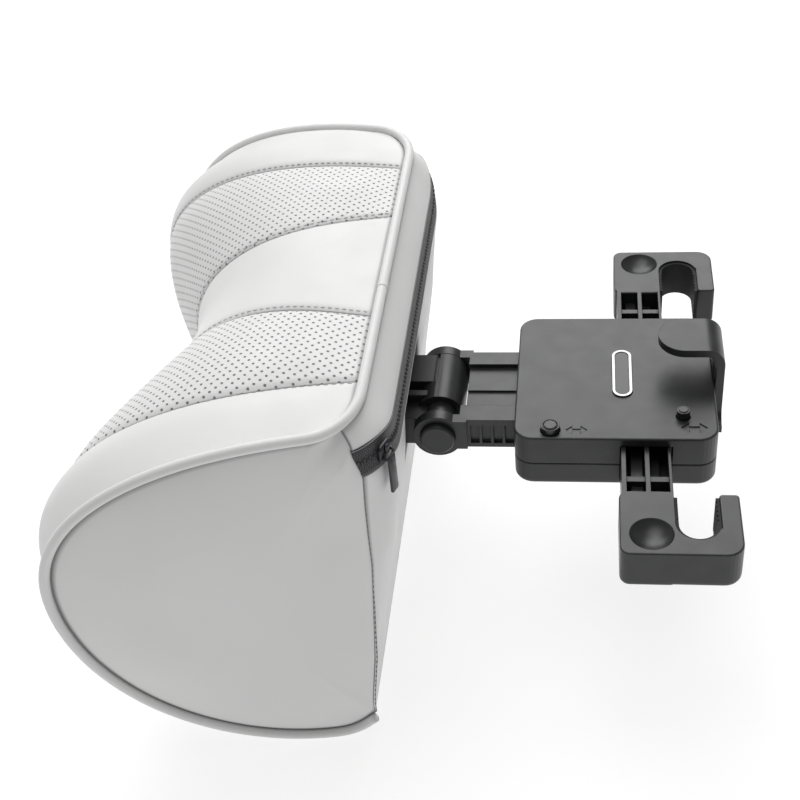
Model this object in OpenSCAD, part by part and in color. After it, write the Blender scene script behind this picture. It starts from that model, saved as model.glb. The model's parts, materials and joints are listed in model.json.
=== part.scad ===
// Neck pillow on a bracket that hooks on the two posts of a seat's headrest.
// Millimetres. +Z up, pillow towards -Y, +X to the right seen from the rear.
// Origin: midway between the two post slots, at half the hooks' height.

/* [Housing] */
// Width and length of the square housing
housing_w = 84; // [80:1:88]
// Height of the housing
housing_h = 25.8; // [25:0.1:28]
// Corner radius of the housing seen from above
housing_r = 8; // [5:1:10]
// Wall thickness of the moulded shells
wall = 2.4; // [2:0.1:2.8]

/* [Post hooks] */
// Distance between the two post slots
post_spacing = 171.5; // [168:0.5:178]
// Width of the open slot in each hook
slot_w = 17.5; // [16.5:0.1:18]
// Inner radius of the soft liner that grips a post
liner_r = 7.4; // [6.5:0.1:7.6]
// Height of the hooks and their arms
hook_h = 18.3; // [18:0.1:18.6]
// Width of each arm
arm_w = 20.8; // [20:0.1:21.5]

/* [Slide and hinge] */
// Outer width of the slide frame
frame_w = 47.6; // [46:0.2:48]
// Height of the slide frame
frame_h = 15.2; // [14:0.2:15.6]
// Radius of the hinge sleeve and knuckles
hinge_r = 10.7; // [10:0.1:11]
// Distance of the hinge axis in front of the post slots
hinge_out = 106.7; // [106:0.1:108]
// Radius of the tilt push buttons
tilt_button_r = 7.5; // [7:0.1:7.6]

/* [Pillow] */
// Half width of the pillow at its back seam
pillow_half_back = 108.9; // [105:0.1:112]
// How far the end caps flare out per millimetre of depth
pillow_flare = 0.2125; // [0.15:0.0025:0.25]
// Height of the pillow's top above the origin
pillow_top = 73.4; // [70:0.1:76]
// Height of the pillow's bottom, below the origin
pillow_bottom = -91.6; // [-95:0.1:-88]
// Distance of the pillow's front in front of the post slots, at the middle
nose_mid = 216; // [212:1:222]
// How much further forward the two wings reach
nose_wing = 38; // [30:1:40]
// Thickness of the cover and its padding
cover_t = 3; // [2:0.1:3.5]

/* [Hidden] */
$fn = 64;
eps = 0.01;
gap = 0.3;

// Colours
black = [0.07, 0.07, 0.075];
dark = [0.12, 0.12, 0.13];
steel = [0.7, 0.7, 0.72];
leather = [0.9, 0.9, 0.89];

// Housing places
housing_back = 11;
housing_y = housing_back - housing_w / 2;
housing_front = housing_back - housing_w;
top_z = 13.4;
bottom_z = top_z - housing_h;
split_z = -0.6;
parting_edge = 0.7;
floor_z = bottom_z + wall;
boss_x = 36.4;
boss_y = 36.4;
boss_r = 2.8;
screw_r = 1.3;
badge_at = [-1, -27.7];

// Arm places
arm_y = -8 - arm_w / 2;
rib_t = 1.9;
arm_in = 27;
arm_out = 67.9;
hook_end = 102.6;
floor_plate_z = -4.4;
floor_plate_t = 2;
hook_web = 88;
slot_from = 40;
hook_corner = 7;
finger_root = hook_end - hook_corner;
cross_rib_x = 56;
cross_rib_top = 5.7;
latch_tail = 21.4;
finger_end = 69.4;
finger_y = 16.56;
dimple_at = [91.8, -17.9];
dimple_r = 8.6;
dimple_depth = 4;

// Rack and pinion
pinion_y = arm_y - 0.1;
pinion_teeth = 12;
gear_module = 0.8;
pinion_pitch_r = pinion_teeth * gear_module / 2;
rack_pitch = PI * gear_module;
rack_h = 3.8;
rack_z = -9;
rack_bar = 2.5;
rack_far = 12;
rack_root = pinion_pitch_r + 1;
axle_r = 1.6;

// Buttons
hook_button = [27.3, -3.1];
hook_button_r = 2.75;
hook_notch_pitch = 3;
slide_button = [36.4, -57.8];
slide_button_r = 3.95;
slide_notch_pitch = 5;
button_stroke = 2.6;

// Slide frame places
rail_in = -52;
rail_front = -97.2;
near_rail_x = 13.7;
far_rail_x = 15;
frame_z = -frame_h / 2;
web_top = 5.4;
web_t = 2;

// Hinge places
hinge_y = -hinge_out;
hinge_z = -0.7;
knuckle_in = 20;
knuckle_out = 25.3;
sleeve_end = 10.9;
neck_r = 7.5;
button_face = 28.2;

// Flange places
flange_y = -128.5;
flange_t = 3;
plate_w = 130;
plate_h = 84;
plate_t = 3;
screw_x = 26;
screw_z = 20;

// Pillow places
pillow_back_y = -127;
seam_y = -125.5;
flat_y = -139;
nose_z = 8.4;
zip_top = [-114.5, 57];
zip_low = [-113.5, 45];
back_mid = [-118.6, 0];
back_low = [-127, -47];
back_heel = [-132, -78];
belly_y = -146;
corner_start = 0.76;
back_corner = 12.8;
cap_rim = 5;
piping_proud = 1.4;
piping_w = 3.6;
seam_cut = -127.6;
low_seam_cut = -134.6;
low_seam_z = -84;
high_seam_z = 30;
stations = 13;
arc_steps = 7;
slider_at = [98, -117.2, 56.6];
slider_turn = -22;

// ---------- helpers ----------

function smooth(t) = t * t * (3 - 2 * t);

function clamp01(t) = max(0, min(1, t));

// Outline of a bar end with rounded top and bottom outer edges
module edge_profile(r, h, top, low) {
    translate([0, low]) square([r, h - top - low]);
    translate([0, low]) square([r - top, h - low]);
    square([r - low, h - top]);
    if (low > 0) translate([r - low, low]) circle(low, $fn = 20);
    if (top > 0) translate([r - top, h - top]) circle(top, $fn = 20);
}

// Rounded block with its low corner centre at the origin plane, from z = 0 to h
module slab(w, l, h, r, top, low) {
    hull() {
        for (sx = [-1, 1], sy = [-1, 1]) {
            translate([sx * (w / 2 - r), sy * (l / 2 - r), 0])
                rotate_extrude($fn = 28) intersection() {
                    edge_profile(r, h, top, low);
                    square([r, h]);
                }
        }
    }
}

// Block given by two corners
module block(a, b) {
    translate(a) cube(b - a);
}

// Flat plate with square sides and round corners, exact
module rounded_plate(w, l, h, r) {
    linear_extrude(h) {
        square([w - 2 * r, l], center = true);
        square([w, l - 2 * r], center = true);
        for (sx = [-1, 1], sy = [-1, 1]) translate([sx * (w / 2 - r), sy * (l / 2 - r)]) circle(r);
    }
}

module capsule(w, l, h) {
    linear_extrude(h) {
        square([w - l, l], center = true);
        for (s = [-1, 1]) translate([s * (w - l) / 2, 0]) circle(l / 2);
    }
}

// Coil spring along +Z from 0 to h
module coil(r, wire, h, turns) {
    sides = 6;
    steps = 10;
    rings = turns * steps;
    points = [
        for (i = [0 : rings], j = [0 : sides - 1])
        let (a = 360 * i / steps, b = 360 * j / sides, q = r + wire * cos(b))
        [q * cos(a), q * sin(a), wire + (h - 2 * wire) * i / rings + wire * sin(b)]
    ];
    walls = [
        for (i = [0 : rings - 1], j = [0 : sides - 1])
        let (k = (j + 1) % sides)
        [i * sides + j, i * sides + k, (i + 1) * sides + k, (i + 1) * sides + j]
    ];
    first = [[for (j = [sides - 1 : -1 : 0]) j]];
    last = [[for (j = [0 : sides - 1]) rings * sides + j]];
    polyhedron(points, concat(walls, first, last));
}

// ---------- housing ----------

module arm_passage() {
    block([-housing_w, arm_y - arm_w / 2 - gap, -hook_h / 2 - gap],
        [housing_w, arm_y + arm_w / 2 + gap, hook_h / 2 + gap]);
}

module frame_passage() {
    block([-frame_w / 2 - gap, housing_front - 5, frame_z - gap],
        [frame_w / 2 + gap, housing_front + 8, -frame_z + gap]);
}

module shell_bosses(z0, z1) {
    for (sx = [-1, 1], sy = [-1, 1])
        translate([sx * boss_x, housing_y + sy * boss_y, z0]) cylinder(r = boss_r, h = z1 - z0);
}

// Two-headed arrow cut beside a button
module arrow_mark(length, width) {
    head = width * 0.55;
    square([length - 2 * head, width * 0.28], center = true);
    for (s = [0, 180]) rotate(s) translate([length / 2, 0])
        polygon([[0, 0], [-head, width / 2], [-head, -width / 2]]);
}

module housing_top() {
    color(dark) difference() {
        union() {
            difference() {
                translate([0, housing_y, split_z])
                    slab(housing_w, housing_w, top_z - split_z, housing_r, 0.9, parting_edge);
                translate([0, housing_y, split_z - eps])
                    rounded_plate(housing_w - 2 * wall, housing_w - 2 * wall,
                        top_z - wall - split_z, housing_r - wall);
            }
            shell_bosses(split_z, top_z - wall + eps);
            translate([slide_button[0], slide_button[1], 4]) cylinder(r = slide_button_r + 1.3, h = 8);
            translate([hook_button[0], hook_button[1], 4]) cylinder(r = hook_button_r + 1.5, h = 8);
        }
        arm_passage();
        frame_passage();
        for (sx = [-1, 1], sy = [-1, 1])
            translate([sx * boss_x, housing_y + sy * boss_y, split_z - eps])
                cylinder(r = screw_r, h = 9);
        translate([slide_button[0], slide_button[1], 0]) cylinder(r = slide_button_r + gap, h = 20);
        translate([hook_button[0], hook_button[1], 0]) cylinder(r = hook_button_r + gap, h = 20);
        translate([badge_at[0], badge_at[1], top_z - 1]) capsule(32.2, 8.6, 2);
        translate([34.5, 1.2, top_z - 0.5]) rotate(90) linear_extrude(1) arrow_mark(11, 6);
        translate([36.4, -47, top_z - 0.35]) rotate(90) linear_extrude(1) arrow_mark(9, 5);
    }
}

module housing_bottom() {
    guide_z = split_z;
    color(dark) difference() {
        union() {
            difference() {
                translate([0, housing_y, bottom_z])
                    slab(housing_w, housing_w, split_z - bottom_z, housing_r, parting_edge, 2.6);
                translate([0, housing_y, floor_z])
                    rounded_plate(housing_w - 2 * wall, housing_w - 2 * wall, 20, housing_r - wall);
            }
            shell_bosses(floor_z - eps, split_z);
            translate([0, pinion_y, floor_z - eps]) cylinder(r = 3.4, h = 0.8);
            for (s = [-1, 1]) {
                block([s < 0 ? -39.8 : 31, -7.4, floor_z - eps], [s < 0 ? 22 : 39.8, -6.1, guide_z]);
                block([s * 24.9 - 0.7, -70.8, floor_z - eps],
                    [s * 24.9 + 0.7, s < 0 ? -34 : -64, guide_z]);
            }
            block([24.2, -54, floor_z - eps], [25.6, -34, guide_z]);
            block([-39.8, -31.2, floor_z - eps], [39.8, -29.6, guide_z]);
        }
        arm_passage();
        frame_passage();
        block([13, slide_button[1] - 5, floor_z - 1.6], [39.5, slide_button[1] + 3.4, floor_z + 1]);
        block([23.4, -6.2, floor_z - 1.2], [31, 0.4, floor_z + 1]);
        translate([0, pinion_y, bottom_z + 0.8]) cylinder(r = axle_r, h = 10);
        for (sx = [-1, 1], sy = [-1, 1])
            translate([sx * boss_x, housing_y + sy * boss_y, bottom_z - 1]) {
                cylinder(r = screw_r + 0.2, h = 30);
                cylinder(r = 2.5, h = 3.4);
            }
    }
}

module housing_screws() {
    color(steel) for (sx = [-1, 1], sy = [-1, 1])
        translate([sx * boss_x, housing_y + sy * boss_y, bottom_z + 0.4]) difference() {
            union() {
                cylinder(r = 2.4, h = 2);
                cylinder(r = screw_r - 0.01, h = 18);
            }
            translate([0, 0, -1]) cylinder(r = 1, h = 2, $fn = 6);
        }
}

module badge_rim() {
    color("silver") translate([badge_at[0], badge_at[1], top_z - 0.98]) difference() {
        capsule(32, 8.4, 1.7);
        translate([0, 0, 0.8]) capsule(29.6, 6, 2);
    }
}

module badge_infill() {
    color(black) translate([badge_at[0], badge_at[1], top_z - 0.16]) capsule(29.4, 5.8, 0.6);
}

module bag_hook() {
    strap_t = 3.5;
    strap_w = 23;
    strap_x = -7.2;
    out_y = 15.2;
    bend_r = 8;
    lift = 30;
    base_z = -10;
    tongue = 12.6;
    foot_x = 14;
    foot_half = 3.5;
    foot_h = 9;
    fillet_r = 6;
    color(dark) {
        difference() {
            translate([strap_x, 0, 0]) rotate([90, 0, 90]) linear_extrude(strap_w, center = true)
                difference() {
                    union() {
                        translate([out_y - strap_t, base_z]) square([strap_t, lift - bend_r - base_z]);
                        translate([out_y - bend_r, lift - bend_r]) circle(bend_r);
                        translate([-tongue, lift - strap_t]) square([out_y - bend_r + tongue, strap_t]);
                    }
                    translate([out_y - bend_r, lift - bend_r]) circle(bend_r - strap_t);
                    translate([-40, base_z - 1]) square([40 + out_y - bend_r, lift - strap_t - base_z + 1]);
                    translate([-1, base_z - 1]) square([out_y - strap_t + 1, lift - bend_r - base_z + 1]);
                }
            translate([strap_x, -1, lift - 10]) difference() {
                block([-20, -20, 0], [20, 0, 20]);
                cylinder(r = strap_w / 2, h = 30);
            }
        }
        difference() {
            for (s = [-1, 1]) translate([strap_x + s * foot_x, out_y - strap_t, base_z])
                block([-foot_half, 0, 0], [foot_half, strap_t, foot_h]);
            for (s = [-1, 1]) translate([strap_x + s * (foot_x + foot_half), 30, base_z + foot_h])
                rotate([90, 0, 0]) cylinder(r = fillet_r, h = 40);
        }
    }
}

// ---------- post hooks ----------

module rack_teeth(from, to) {
    count = floor((to - from) / rack_pitch);
    for (i = [0 : count]) translate([from + i * rack_pitch, 0])
        polygon([[-0.62, -eps], [0.62, -eps], [0.22, 1.65], [-0.22, 1.65]]);
}

// One hook with its arm and rack, drawn for the right side
module hook_half(rack_side) {
    y0 = arm_y - arm_w / 2;
    y1 = arm_y + arm_w / 2;
    rack_near = pinion_y + rack_side * rack_root;
    rack_away = pinion_y + rack_side * (rack_root + rack_bar);
    rack_end = arm_in + 14;
    rib_end = arm_out + 3;
    difference() {
        union() {
            translate([(arm_out + hook_end) / 2, (y0 - slot_w / 2) / 2 + 0.2, -hook_h / 2])
                slab(hook_end - arm_out, -slot_w / 2 - y0 + 3, hook_h, 4, 0.7, 2.4);
            translate([(hook_end + hook_web) / 2, (y0 + finger_y) / 2, -hook_h / 2])
                slab(hook_end - hook_web, finger_y - y0, hook_h, hook_corner, 0.7, 3);
            translate([(finger_end + finger_root) / 2, (finger_y + slot_w / 2) / 2, -hook_h / 2])
                slab(finger_root - finger_end, finger_y - slot_w / 2, hook_h, 1.5, 0.7, 1.4);
            for (y = [y0, arm_y - rib_t / 2, y1 - rib_t])
                block([arm_in, y, floor_plate_z], [rib_end, y + rib_t, hook_h / 2]);
            for (y = [y0, y1 - rib_t])
                block([arm_in, y, -hook_h / 2], [rib_end, y + rib_t, hook_h / 2]);
            block([arm_in, y0, floor_plate_z], [rib_end, y1, floor_plate_z + floor_plate_t]);
            block([arm_in + 5, arm_y - 6.4, floor_plate_z], [rib_end, arm_y - 1.6, 2.6]);
            block([arm_in + 5, arm_y + 1.8, floor_plate_z], [rib_end, arm_y + 5.2, 0.6]);
            block([cross_rib_x, y0, floor_plate_z], [cross_rib_x + 3, y1, cross_rib_top]);
            block([arm_in, y0, floor_plate_z], [arm_in + 2, y1, cross_rib_top]);
            // Rack on a bar under the opposite arm
            translate([0, 0, rack_z]) linear_extrude(rack_h) {
                translate([-rack_far, min(rack_near, rack_away)]) square([rack_far + rack_end, rack_bar]);
                translate([0, rack_near]) mirror([0, rack_side > 0 ? 1 : 0])
                    rack_teeth(-ceil(rack_far / rack_pitch - 1) * rack_pitch + rack_pitch / 2, arm_in);
            }
            block([arm_in, min(rack_near, rack_away), rack_z],
                [rack_end, max(rack_near, rack_away), floor_plate_z + eps]);
            if (rack_side > 0) block([latch_tail, y1 - rib_t, -hook_h / 2], [arm_in + 1, y1, 3]);
        }
        // Slot for the post
        translate([post_spacing / 2, 0, -20]) cylinder(r = slot_w / 2, h = 40);
        block([slot_from, -slot_w / 2, -20], [post_spacing / 2, slot_w / 2, 20]);
        // Thumb dimple
        dimple_ball = (dimple_r * dimple_r + dimple_depth * dimple_depth) / (2 * dimple_depth);
        translate([dimple_at[0], dimple_at[1], hook_h / 2 + dimple_ball - dimple_depth]) sphere(dimple_ball);
        // Ratchet notches for the release latch, in the outer side of the right arm
        if (rack_side > 0) {
            block([latch_tail - 1, y1 - 1, -hook_h], [cross_rib_x, y1 + 1, -1.3]);
            for (i = [-1 : 8]) translate([hook_button[0] + i * hook_notch_pitch, y1, 0])
                block([-0.9, -1, -1.4], [0.9, 1, 1.5]);
        }
    }
}

module hook_arm_right() {
    color(dark) hook_half(1);
}

module hook_arm_left() {
    color(dark) mirror([1, 0, 0]) hook_half(-1);
}

module post_liner() {
    liner_h = hook_h - 1.4;
    translate([0, 0, -hook_h / 2 + 0.4]) difference() {
        union() {
            translate([post_spacing / 2, 0, 0]) cylinder(r = slot_w / 2, h = liner_h);
            block([finger_end + 1.2, -slot_w / 2, 0], [post_spacing / 2, slot_w / 2, liner_h]);
        }
        translate([post_spacing / 2, 0, -1]) cylinder(r = liner_r, h = liner_h + 2);
        block([50, -liner_r, -1], [post_spacing / 2, liner_r, liner_h + 2]);
        for (x = [finger_end + 3 : 2.5 : post_spacing / 2 - 2], s = [-1, 1])
            block([x, s * liner_r - 0.5, -1], [x + 1, s * liner_r + 0.5, liner_h + 2]);
    }
}

module post_liner_right() {
    color(black) post_liner();
}

module post_liner_left() {
    color(black) mirror([1, 0, 0]) post_liner();
}

module rack_pinion() {
    tooth = 360 / pinion_teeth;
    color("ivory") translate([0, pinion_y, rack_z]) difference() {
        linear_extrude(rack_h) {
            circle(pinion_pitch_r - 1);
            for (i = [0 : pinion_teeth - 1]) rotate(i * tooth) polygon([
                [-0.9, pinion_pitch_r - 1.3], [0.9, pinion_pitch_r - 1.3],
                [0.42, pinion_pitch_r], [0.18, pinion_pitch_r + 0.65],
                [-0.18, pinion_pitch_r + 0.65], [-0.42, pinion_pitch_r]
            ]);
        }
        translate([0, 0, -1]) cylinder(r = axle_r + 0.05, h = 10);
    }
}

module pinion_axle() {
    color(steel) translate([0, pinion_y, bottom_z + 0.8]) {
        cylinder(r = axle_r, h = rack_z + rack_h - bottom_z - 0.5);
    }
}

module button_cap(r, z, rise) {
    cylinder(r = r, h = z + rise);
    translate([0, 0, z + rise - 0.01]) cylinder(r = r - 0.8, h = 0.4);
}

module hook_release_button() {
    stem_z = -6.4;
    color(black) difference() {
        translate([hook_button[0], hook_button[1], 0]) {
            translate([0, 0, stem_z]) button_cap(hook_button_r, top_z - stem_z, 3.6);
            translate([0, 0, -1]) block([-0.55, -4.7, 0], [0.55, 0, 2]);
            translate([0, 0, 1.2]) cylinder(r = 3.4, h = 1.6);
        }
        translate([hook_button[0], hook_button[1], stem_z - 1]) cylinder(r = 2, h = 5);
    }
}

module hook_release_spring() {
    color(steel) translate([hook_button[0], hook_button[1], floor_z - 1.1])
        coil(1.45, 0.3, 8.6, 6);
}

module slide_release_button() {
    stem_z = -9.5;
    color(black) difference() {
        translate([slide_button[0], slide_button[1], 0]) {
            translate([0, 0, stem_z]) cylinder(r = 3, h = 14);
            translate([0, 0, 3]) button_cap(slide_button_r, top_z - 3, 2.6);
            block([-19.4, -4.4, stem_z], [0, 1.6, stem_z + 0.9]);
            block([-19.4, -4.4, stem_z], [-15, -2.8, frame_z - 0.2]);
        }
        translate([slide_button[0], slide_button[1], stem_z - 1]) cylinder(r = 2.4, h = 8);
        translate([slide_button[0], slide_button[1], top_z + 2.4]) difference() {
            cylinder(r = slide_button_r - 1, h = 2);
            translate([0, 0, -1]) cylinder(r = slide_button_r - 1.4, h = 4);
        }
    }
}

module slide_release_spring() {
    color(steel) translate([slide_button[0], slide_button[1], floor_z - 1.5])
        coil(1.9, 0.35, 8.2, 6);
}

// ---------- slide and hinge ----------

module slide_frame() {
    half = frame_w / 2;
    bore = tilt_button_r + 0.2;
    color(dark) difference() {
        union() {
            block([near_rail_x, rail_front, frame_z], [half, rail_in, -frame_z]);
            block([-half, rail_front + 1.8, frame_z], [-far_rail_x, rail_in, -frame_z]);
            block([-far_rail_x - 1, -95, web_top - web_t], [1, rail_in, web_top]);
            block([0, -95, web_top - web_t - 1], [near_rail_x + 1, rail_in, web_top - 1]);
            for (s = [-1, 1]) {
                translate([s * (knuckle_in + knuckle_out) / 2, hinge_y, hinge_z]) rotate([0, 90, 0])
                    cylinder(r = hinge_r, h = knuckle_out - knuckle_in, center = true);
                block([s > 0 ? knuckle_in : -knuckle_out, hinge_y, frame_z],
                    [s > 0 ? knuckle_out : -knuckle_in, -94, -frame_z]);
            }
        }
        for (s = [-1, 1]) translate([s * 30, hinge_y, hinge_z]) rotate([0, -s * 90, 0])
            cylinder(r = bore, h = 30 - knuckle_in + 1);
        // Ratchet windows in both outer sides
        for (s = [-1, 1], i = [0 : 6])
            block([s > 0 ? half - 1.6 : -half - 1, -92.6 + i * slide_notch_pitch, -5.4],
                [s > 0 ? half + 1 : -half + 1.6, -88.8 + i * slide_notch_pitch, 4.6]);
        // Latch notches under the near rail
        for (i = [0 : 6])
            block([near_rail_x + 1.3, -92.4 + i * slide_notch_pitch, frame_z - 1],
                [half - 1.7, -89.6 + i * slide_notch_pitch, frame_z + 2]);
    }
}

module tilt_yoke() {
    inner = knuckle_in - gap;
    body_x = 19.5;
    flange_x = 32;
    flange_z = 26;
    stem_r = 3.3;
    color(dark) difference() {
        union() {
            translate([-inner, hinge_y, hinge_z]) rotate([0, 90, 0])
                cylinder(r = hinge_r, h = inner + sleeve_end);
            translate([sleeve_end - 1, hinge_y, hinge_z]) rotate([0, 90, 0])
                cylinder(r = neck_r, h = inner - sleeve_end + 1);
            // Body from the sleeve into the pillow
            block([-body_x, flange_y - 1, -9.6], [body_x, hinge_y - 2, 4.4]);
            block([-body_x, flange_y - 1, 0], [-0.4, hinge_y - 2.4, 9.4]);
            block([4.5, flange_y - 1, 0], [8, hinge_y - 3, 8.4]);
            block([-body_x, hinge_y - 2.4, 8], [sleeve_end, hinge_y - 1, hinge_z + hinge_r]);
            block([-flange_x, flange_y - flange_t, -flange_z], [flange_x, flange_y, flange_z]);
        }
        // Spring bore with a step that keeps each button in
        translate([-15.8, hinge_y, hinge_z]) rotate([0, 90, 0]) cylinder(r = 5, h = 31.6);
        translate([-30, hinge_y, hinge_z]) rotate([0, 90, 0]) cylinder(r = stem_r, h = 60);
        block([-30, -109.6, 8.4], [-0.3, -108.4, 12]);
        flange_holes(2);
    }
}

module tilt_button() {
    translate([0, hinge_y, hinge_z]) rotate([0, 90, 0]) {
        translate([0, 0, 22.8]) cylinder(r = tilt_button_r, h = button_face - 22.8 - 0.6);
        translate([0, 0, button_face - 0.7]) cylinder(r1 = tilt_button_r, r2 = tilt_button_r - 0.7, h = 0.7);
        translate([0, 0, 14]) cylinder(r = 3, h = 10);
        translate([0, 0, 14]) cylinder(r = 4.6, h = 1.5);
    }
}

module tilt_button_right() {
    color(black) tilt_button();
}

module tilt_button_left() {
    color(black) mirror([1, 0, 0]) tilt_button();
}

module tilt_spring() {
    color(steel) translate([-11.3, hinge_y, hinge_z]) rotate([0, 90, 0]) coil(3.6, 0.45, 22.6, 8);
}

// Screw holes through the yoke's flange and the back plate
module flange_holes(r) {
    for (sx = [-1, 1], sz = [-1, 1]) translate([sx * screw_x, flange_y + 5, sz * screw_z])
        rotate([90, 0, 0]) cylinder(r = r, h = 16);
}

module flange_screws() {
    color(steel) for (sx = [-1, 1], sz = [-1, 1]) translate([sx * screw_x, flange_y, sz * screw_z])
        rotate([90, 0, 0]) {
            translate([0, 0, -1.7]) cylinder(r = 3.4, h = 1.7);
            cylinder(r = 1.9, h = flange_t + plate_t);
        }
}

module pillow_back_plate() {
    color("burlywood") difference() {
        translate([0, flange_y - flange_t - 0.05, 0]) rotate([90, 0, 0])
            rounded_plate(plate_w, plate_h, plate_t, 8);
        flange_holes(1.95);
    }
}

// ---------- pillow ----------

// Half width of the pillow at depth y
function half_width(y) = pillow_half_back + pillow_flare * (pillow_back_y - y);

// How far the back sits forward towards the end caps
function corner_in(s) =
    let (u = max(0, abs(s) - corner_start) / (1 - corner_start)) back_corner * (1 - sqrt(1 - u * u * 0.98));

// Front of the pillow at station s, 0 in the middle and 1 at an end cap
function nose(s) = -(nose_mid + nose_wing * smooth(clamp01(abs(s) / 0.8)))
    + 9 * smooth(clamp01((abs(s) - 0.8) / 0.2));

// Closed section of the pillow at station s, shrunk inwards by t
function section(s, t) =
    let (
        nose_y = nose(s) + t,
        span = flat_y - nose_y,
        top = pillow_top - t,
        low = pillow_bottom + t,
        back = -corner_in(s) - t
    )
    concat(
        [[seam_y - t + back / 4, top]],
        [for (a = [0 : 90 / arc_steps : 90])
            [flat_y - span * pow(sin(a), 2 / 2.3), nose_z + (top - nose_z) * pow(cos(a), 2 / 2.3)]],
        [for (a = [90 / arc_steps : 90 / arc_steps : 90])
            [belly_y - (belly_y - nose_y) * pow(cos(a), 2 / 1.9), nose_z + (low - nose_z) * pow(sin(a), 2 / 1.9)]],
        [back_heel + [back / 3, t], back_low + [back / 2, 0], back_mid + [back, 0],
            zip_low + [back, 0], zip_top + [back, -t]]
    );

// Whole pillow, shrunk inwards by t
module pillow_solid(t) {
    shrink = 1 - t / 120;
    ring = len(section(0, t));
    points = [
        for (i = [-stations : stations])
        let (s = sin(90 * i / stations))
        for (p = section(s, t)) [s * shrink * half_width(p[0]), p[0], p[1]]
    ];
    last = 2 * stations;
    walls = [
        for (i = [0 : last - 1], j = [0 : ring - 1])
        let (k = (j + 1) % ring, a = i * ring, b = a + ring)
        each [[a + j, b + k, a + k], [a + j, b + j, b + k]]
    ];
    caps = [[for (j = [0 : ring - 1]) j], [for (j = [ring - 1 : -1 : 0]) last * ring + j]];
    polyhedron(points, concat(walls, caps));
}

// Room for the hinge and the yoke in the pillow's back
module yoke_room() {
    block([-27, flange_y - 1, -15], [27, -100, 16]);
}

// Everything outboard of the right end cap's plane moved in by t
module beyond_cap(t) {
    translate([pillow_half_back - t, pillow_back_y, 0]) rotate(atan(pillow_flare))
        block([0, -300, -200], [100, 100, 200]);
}

// Everything behind the face and the end caps
module behind_seam() {
    block([-200, seam_cut, -200], [200, 0, 200]);
    block([-200, low_seam_cut, low_seam_z], [200, 0, high_seam_z]);
}

// Everything in front of the back's seams
module before_seam() {
    block([-200, -400, high_seam_z], [200, seam_cut, 200]);
    block([-200, -400, low_seam_z], [200, low_seam_cut, high_seam_z]);
    block([-200, -400, -200], [200, seam_cut, low_seam_z]);
}

module cover_shell() {
    difference() {
        pillow_solid(0);
        pillow_solid(cover_t);
        yoke_room();
    }
}

module face_cover() {
    color(leather) difference() {
        cover_shell();
        behind_seam();
        beyond_cap(cap_rim);
        mirror([1, 0, 0]) beyond_cap(cap_rim);
    }
}

module end_cap_right() {
    color(leather) difference() {
        intersection() {
            cover_shell();
            beyond_cap(cap_rim);
        }
        behind_seam();
    }
}

module end_cap_left() {
    mirror([1, 0, 0]) end_cap_right();
}

// Band of the back between two heights
module back_band(low, high) {
    difference() {
        intersection() {
            cover_shell();
            block([-200, -200, low], [200, 0, high]);
        }
        before_seam();
    }
}

module back_cover() {
    color(leather) back_band(-200, zip_low[1]);
}

module zip_tape() {
    color(black) back_band(zip_low[1], zip_top[1]);
}

module gusset_strip() {
    color(leather) back_band(zip_top[1], 200);
}

module piping() {
    color(leather) intersection() {
        difference() {
            pillow_solid(-piping_proud);
            pillow_solid(0);
            for (s = [0, 1]) mirror([s, 0, 0]) beyond_cap(0);
        }
        union() {
            for (s = [0, 1]) mirror([s, 0, 0]) beyond_cap(piping_w);
            block([-200, -127.4, 70], [200, -123.4, 90]);
        }
        block([-200, -300, -200], [200, -123.4, 200]);
    }
}

module pillow_foam() {
    color("khaki") difference() {
        pillow_solid(cover_t + 0.2);
        yoke_room();
        block([-plate_w / 2 - 1, flange_y - flange_t - plate_t - 0.6, -plate_h / 2 - 1],
            [plate_w / 2 + 1, flange_y + 2, plate_h / 2 + 1]);
    }
}

module at_slider() {
    translate(slider_at) rotate(slider_turn) children();
}

module tab_axis(r, half) {
    translate([0, 3.6, -2.7]) rotate([0, 90, 0]) cylinder(r = r, h = 2 * half, center = true);
}

module zip_slider() {
    color(black) at_slider() {
        block([-4.5, 0, -4.5], [4.5, 2.5, 4.5]);
        tab_axis(0.4, 3.4);
        for (s = [-1, 1]) translate([s * 3, 0, 0]) block([-0.4, 2.4, -3.4], [0.4, 4.1, -2]);
    }
}

module zip_pull() {
    color(dark) at_slider() difference() {
        union() {
            tab_axis(0.85, 2.3);
            block([-2.3, 3.1, -19], [2.3, 4.1, -2.9]);
        }
        tab_axis(0.46, 5);
    }
}

housing_top();
housing_bottom();
housing_screws();
badge_rim();
badge_infill();
bag_hook();
hook_arm_left();
hook_arm_right();
post_liner_left();
post_liner_right();
rack_pinion();
pinion_axle();
hook_release_button();
hook_release_spring();
slide_frame();
slide_release_button();
slide_release_spring();
tilt_yoke();
tilt_button_left();
tilt_button_right();
tilt_spring();
flange_screws();
pillow_back_plate();
pillow_foam();
face_cover();
end_cap_left();
end_cap_right();
back_cover();
gusset_strip();
piping();
zip_tape();
zip_slider();
zip_pull();
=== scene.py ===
"""Looks of a headrest neck pillow on its post bracket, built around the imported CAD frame.

Lengths in the shape functions are millimetres in the CAD frame; to_metres() turns them into Blender's.
"""
import json
import math

import bpy
import numpy as np
from mathutils import Matrix, Vector


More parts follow.
